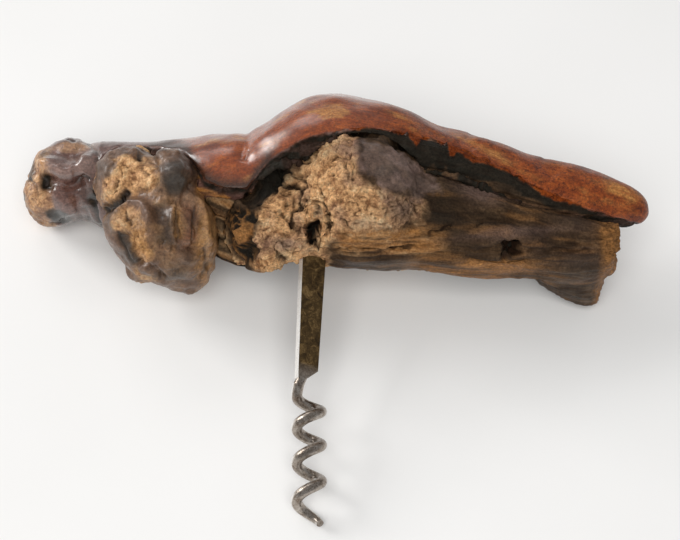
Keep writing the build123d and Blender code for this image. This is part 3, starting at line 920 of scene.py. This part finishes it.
def wood(name, skin, gold, dark, rough=(0.62, 0.3), bump=0.5, coat=0.25, shine=0.25):
    """Old root wood: polished or dull skin, crumbly cork, golden streaks, dark marks with painted shade in
    cracks and carved dips, and a few painted highlights.
    """
    g = Graph(name)
    grain = g.grain()
    place = g.place()
    streak = g.noise(grain, 0.9, 6.0, 0.62, 0.5)
    speck = g.noise(place, 1500.0, 5.0, 0.7)
    blotch = g.noise(place, 160.0, 4.0, 0.6, 0.6)
    fine = g.noise(grain, 3.5, 4.0, 0.7, 0.3)
    tone = g.math("ADD", g.math("MULTIPLY", streak, 0.5), g.math("MULTIPLY", blotch, 0.5))
    base = g.colours(g.span(tone, 0.3, 0.7), (0.0, skin[0]), (1.0, skin[2]), (0.5, skin[1]))
    polished = g.colours(g.span(tone, 0.3, 0.7), (0.0, RED[0]), (1.0, RED[2]), (0.5, RED[1]))
    stain = g.noise(place, 900.0, 5.0, 0.75, 0.6)
    stained = g.math("MULTIPLY", g.span(stain, 0.5, 0.6), g.span(g.mask("gloss"), 0.4, 1.0, 0.75, 0.2))
    polished = g.mix(stained, polished, (0.055, 0.011, 0.004))
    base = g.mix(g.mask("red"), base, polished)
    crumble = g.noise(place, 480.0, 4.0, 0.65, 0.9)
    crumb_tone = g.math("ADD", g.math("MULTIPLY", blotch, 0.5), g.math("MULTIPLY", crumble, 0.5))
    crumb = g.colours(g.span(crumb_tone, 0.39, 0.64), (0.0, CRUMB[0]), (1.0, CRUMB[2]), (0.5, CRUMB[1]))
    base = g.mix(g.mask("cork"), base, crumb)
    honey = g.colours(g.span(fine, 0.3, 0.7), (0.0, gold[0]), (1.0, gold[1]))
    base = g.mix(g.math("MULTIPLY", g.mask("gold"), g.span(streak, 0.3, 0.6, 0.35, 1.0)), base, honey)
    mauve = g.mix(blotch, (0.2, 0.125, 0.105), (0.3, 0.2, 0.165))
    base = g.mix(g.math("MULTIPLY", g.mask("pale"), 0.75), base, mauve)
    black = g.mix(fine, dark[0], dark[1])
    base = g.mix(g.mask("dark"), base, black)
    grit = g.span(speck, 0.36, 0.64, 0.6, 1.3)
    gritty = g.add("ShaderNodeCombineColor", Red=grit, Green=grit, Blue=grit).outputs[0]
    base = g.mix(1.0, base, gritty, "MULTIPLY")
    # Painted shade: where the carving sank below the skin round it, the colour is darkened towards near-black
    # brown.
    base = g.mix(g.math("MULTIPLY", g.mask("painted_cavity_shade"), 0.84, True), base, (0.024, 0.011, 0.006))
    gloss = g.math("MULTIPLY", g.mask("gloss"), g.span(blotch, 0.3, 0.6, 0.75, 1.0))
    wear = g.span(fine, 0.3, 0.7, -0.05, 0.07)
    roughness = g.math("ADD", g.span(gloss, 0.0, 1.0, rough[0], rough[1]), wear)
    height = g.math("ADD", g.math("MULTIPLY", fine, 0.5), g.math("MULTIPLY", speck, 0.4))
    height = g.math("ADD", height, g.math("MULTIPLY", streak, 0.5))
    height = g.math("ADD", height, g.math("MULTIPLY", crumble, g.mask("cork")))
    height = g.math("MULTIPLY", height, g.span(gloss, 0.0, 1.0, 1.0, 0.12))
    normal = g.add("ShaderNodeBump", Strength=bump, Distance=0.0016, Height=height).outputs[0]
    return g.close(
        Base_Color=base,
        Roughness=roughness,
        Normal=normal,
        Coat_Weight=g.math("MULTIPLY", gloss, coat),
        Coat_Roughness=0.25,
        Coat_IOR=1.65,
        Specular_IOR_Level=g.span(gloss, 0.3, 1.0, shine, 3.2 * shine),
    )


def steel():
    """Forged steel: the bar rusty and dull, the worm bare and brighter with brown tarnish; faces turned to
    the left get a painted highlight, near-white and less metallic.
    """
    g = Graph("forged_steel")
    place = g.place()
    across = g.add("ShaderNodeSeparateXYZ", Vector=place)
    worm = g.span(across.outputs["Y"], -0.019, -0.024)
    blotch = g.noise(place, 420.0, 5.0, 0.65, 0.8)
    fine = g.noise(place, 2400.0, 4.0, 0.7)
    rust = g.colours(g.span(blotch, 0.32, 0.68), (0.0, (0.033, 0.021, 0.01)), (1.0, (0.24, 0.16, 0.07)),
                     (0.5, (0.095, 0.062, 0.026)))
    bare = g.colours(g.span(blotch, 0.3, 0.72), (0.0, (0.2, 0.155, 0.12)), (1.0, (0.62, 0.59, 0.55)),
                     (0.42, (0.42, 0.38, 0.34)))
    # Painted highlight: faces whose normal points to -X, towards the window light, are made near-white and
    # less metallic.
    side = g.add("ShaderNodeSeparateXYZ", Vector=g.add("ShaderNodeNewGeometry").outputs["Normal"])
    bright = g.span(side.outputs["X"], -0.75, -0.9)
    bare_and_lit_side = g.math("MAXIMUM", worm, bright, True)
    base = g.mix(bare_and_lit_side, rust, bare)
    speckle = g.colours(g.span(fine, 0.35, 0.65), (0.0, (0.55, 0.5, 0.45)), (1.0, (1.15, 1.12, 1.1)))
    base = g.mix(1.0, base, speckle, "MULTIPLY")
    # Painted highlight colour on the left-facing faces.
    base = g.mix(bright, base, g.mix(blotch, (0.95, 0.94, 0.92), (0.6, 0.57, 0.53)))
    roughness = g.math("ADD", g.span(bare_and_lit_side, 0.0, 1.0, 0.52, 0.3), g.span(fine, 0.3, 0.7, -0.06, 0.1))
    height = g.math("ADD", g.math("MULTIPLY", blotch, 0.8), g.math("MULTIPLY", fine, 0.5))
    normal = g.add("ShaderNodeBump", Strength=0.35, Distance=0.0002, Height=height).outputs[0]
    metal = g.math("SUBTRACT", g.span(bare_and_lit_side, 0.0, 1.0, 0.4, 1.0), g.math("MULTIPLY", bright, 0.55))
    return g.close(
        Base_Color=base,
        Metallic=metal,
        Roughness=roughness,
        Normal=normal,
        Specular_IOR_Level=0.2,
    )


def split_wood():
    """The wedge: a splinter of dull wood."""
    g = Graph("split_wood")
    place = g.place()
    stretched = g.add("ShaderNodeMapping", Vector=place, Scale=(900.0, 110.0, 500.0)).outputs[0]
    fine = g.noise(stretched, 1.0, 5.0, 0.65, 0.4)
    base = g.colours(g.span(fine, 0.3, 0.7), (0.0, (0.07, 0.035, 0.016)), (1.0, (0.32, 0.17, 0.08)))
    normal = g.add("ShaderNodeBump", Strength=0.6, Distance=0.0004, Height=fine).outputs[0]
    return g.close(Base_Color=base, Roughness=0.85, Normal=normal)


def table_top():
    g = Graph("pale_table")
    place = g.place()
    blotch = g.noise(place, 9.0, 3.0, 0.5)
    base = g.colours(g.span(blotch, 0.3, 0.7), (0.0, (0.815, 0.813, 0.805)), (1.0, (0.85, 0.848, 0.843)))
    height = g.noise(place, 900.0, 3.0)
    normal = g.add("ShaderNodeBump", Strength=0.05, Distance=0.0002, Height=height).outputs[0]
    return g.close(Base_Color=base, Roughness=0.9, Normal=normal)


limb_wood = wood(
    "polished_root",
    skin=((0.05, 0.022, 0.016), (0.12, 0.056, 0.042), (0.22, 0.125, 0.1)),
    gold=((0.3, 0.1, 0.022), (0.56, 0.27, 0.075)),
    dark=BARK_AND_SHADE,
    rough=(0.62, 0.26),
    bump=0.25,
    coat=1.0,
    shine=0.13,
)
burl_wood = wood(
    "burl_root",
    skin=((0.05, 0.024, 0.012), (0.13, 0.066, 0.035), (0.225, 0.13, 0.075)),
    gold=GOLD,
    dark=((0.012, 0.01, 0.007), (0.045, 0.036, 0.026)),
    rough=(0.66, 0.34),
    bump=0.4,
    coat=0.6,
    shine=0.2,
)
heart_wood = wood(
    "dead_heart_wood",
    skin=((0.02, 0.011, 0.006), (0.062, 0.035, 0.018), (0.14, 0.083, 0.043)),
    gold=((0.21, 0.082, 0.022), (0.5, 0.24, 0.078)),
    dark=BARK_AND_SHADE,
    rough=(0.8, 0.4),
    bump=0.8,
    coat=0.3,
    shine=0.2,
)
bark_wood = wood(
    "dead_bark",
    skin=((0.022, 0.013, 0.008), (0.055, 0.034, 0.02), (0.115, 0.075, 0.045)),
    gold=((0.1, 0.045, 0.016), (0.24, 0.12, 0.05)),
    dark=BARK_AND_SHADE,
    rough=(0.8, 0.5),
    bump=0.6,
    coat=0.1,
    shine=0.12,
)

carved = [
    (*carve_centre(), heart_wood, "heart_wood"),
    (*carve_limb(), limb_wood, "polished_limb"),
    (*carve_left_burl(), burl_wood, "burl_wood"),
    (*carve_bark(), bark_wood, "dead_bark"),
]
carved += [(skin, grain, heart_wood, "heart_wood") for skin, grain in carve_ribs()]
for skin, grain, material, slot in carved:
    skin.finish(material, slot, grain)


def dress(node, material):
    """Gives a CAD node that stays in view a material of its own."""
    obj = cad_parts[node]
    obj.data.materials.clear()
    obj.data.materials.append(material)


forged = steel()
dress("worm_forging", forged)
dress("tang_nail", forged)
dress("tang_wedge", split_wood())

# --- Table, light and camera -----------------------------------------------------------------

bpy.ops.mesh.primitive_grid_add(x_subdivisions=2, y_subdivisions=2, size=6.0, location=(0, 0, 0))
floor = bpy.context.active_object
floor.name = "table_top"
floor.data.materials.append(table_top())


def area_light(name, towards, reach, width, height, power, colour):
    """A soft rectangular light in a direction from the object."""
    data = bpy.data.lights.new(name, "AREA")
    data.shape = "RECTANGLE"
    data.size = width
    data.size_y = height
    data.energy = power
    data.color = colour
    light = bpy.data.objects.new(name, data)
    bpy.context.scene.collection.objects.link(light)
    light.location = Vector(towards).normalized() * reach
    light.rotation_euler = Vector(towards).to_track_quat("Z", "Y").to_euler()
    return light


area_light("window", (-0.8, 0.36, 0.46), 1.6, 0.7, 0.65, 13.5, (1.0, 0.99, 0.975))
area_light("window_beyond", (-0.33, 0.7, 0.6), 1.6, 0.7, 0.4, 2.2, (1.0, 0.99, 0.98))
fill = area_light("room_fill", (-0.06, -0.53, 0.85), 1.8, 1.7, 1.3, 23.5, (1.0, 0.99, 0.97))
fill.visible_glossy = False

world = bpy.data.worlds.new("room")
bpy.context.scene.world = world
world.use_nodes = True
world.node_tree.nodes["Background"].inputs["Color"].default_value = (0.98, 0.985, 1.0, 1)
world.node_tree.nodes["Background"].inputs["Strength"].default_value = 0.33
bpy.context.scene.view_settings.view_transform = "Standard"

camera_data = bpy.data.cameras.new("camera")
camera_data.lens = 85
camera_data.sensor_width = 36
camera = bpy.data.objects.new("camera", camera_data)
bpy.context.scene.collection.objects.link(camera)
camera.location = to_row(STATION)
camera.rotation_euler = (LEAN, 0, 0)
bpy.context.scene.camera = camera
